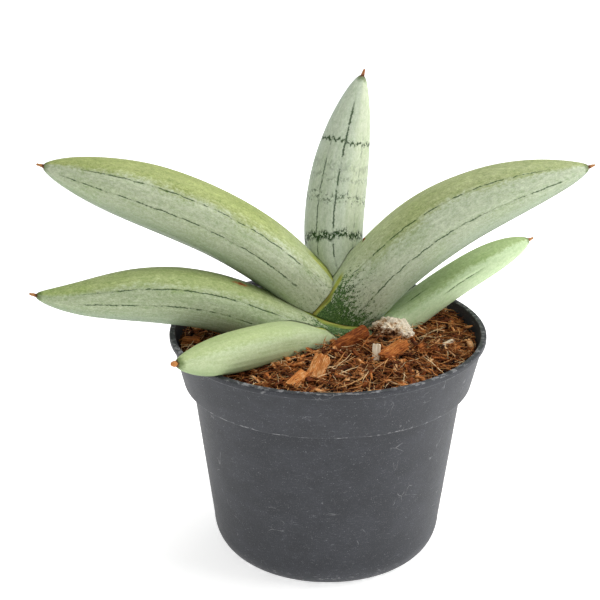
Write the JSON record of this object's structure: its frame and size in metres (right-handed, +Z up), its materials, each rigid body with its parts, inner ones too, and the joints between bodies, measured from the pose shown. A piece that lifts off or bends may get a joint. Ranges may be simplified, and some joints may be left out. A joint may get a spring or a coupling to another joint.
{
  "type": "potted snake plant",
  "caption": "Snake plant with a fan of stout, pointed, cylinder-like leaves, growing from husk soil in a round tapered nursery pot.",
  "frame": {"origin": "middle of the pot's flat underside, on the pot's vertical axis", "axes": "+Z up along the pot's axis; +X to the right along the fan of leaves; -Y towards the viewer, the side the small front leaf leans to"},
  "size_m": [0.2101, 0.12, 0.179],
  "materials": {
    "pot_plastic": "matt dark grey moulded recycled plastic with pale scuffs",
    "husk_soil": "loose orange-brown coir husk, bark chips and fibres",
    "leaf": "satin silvery grey-green leaf skin with fine dark lengthwise lines",
    "banded_leaf": "satin pale silver leaf skin with dark green cross bands",
    "green_leaf": "satin soft green leaf skin",
    "husk_chip": "rough orange-brown coconut husk and bark",
    "pale_husk": "rough cream-coloured dried fibre"
  },
  "bodies": {
    "root": {"pot": "pot_plastic", "soil": "husk_soil", "leaf_centre": "banded_leaf", "leaf_left_high": "leaf", "leaf_right_high": "leaf", "leaf_left_low": "leaf", "leaf_right_low": "green_leaf", "leaf_front_left": "green_leaf", "bark_chip_long": "husk_chip", "husk_block_front": "husk_chip", "husk_chip_front": "husk_chip", "husk_chip_side": "husk_chip", "husk_chip_pale": "pale_husk", "husk_stick_right": "pale_husk", "bark_knob": "pale_husk"}
  },
  "joints": []
}
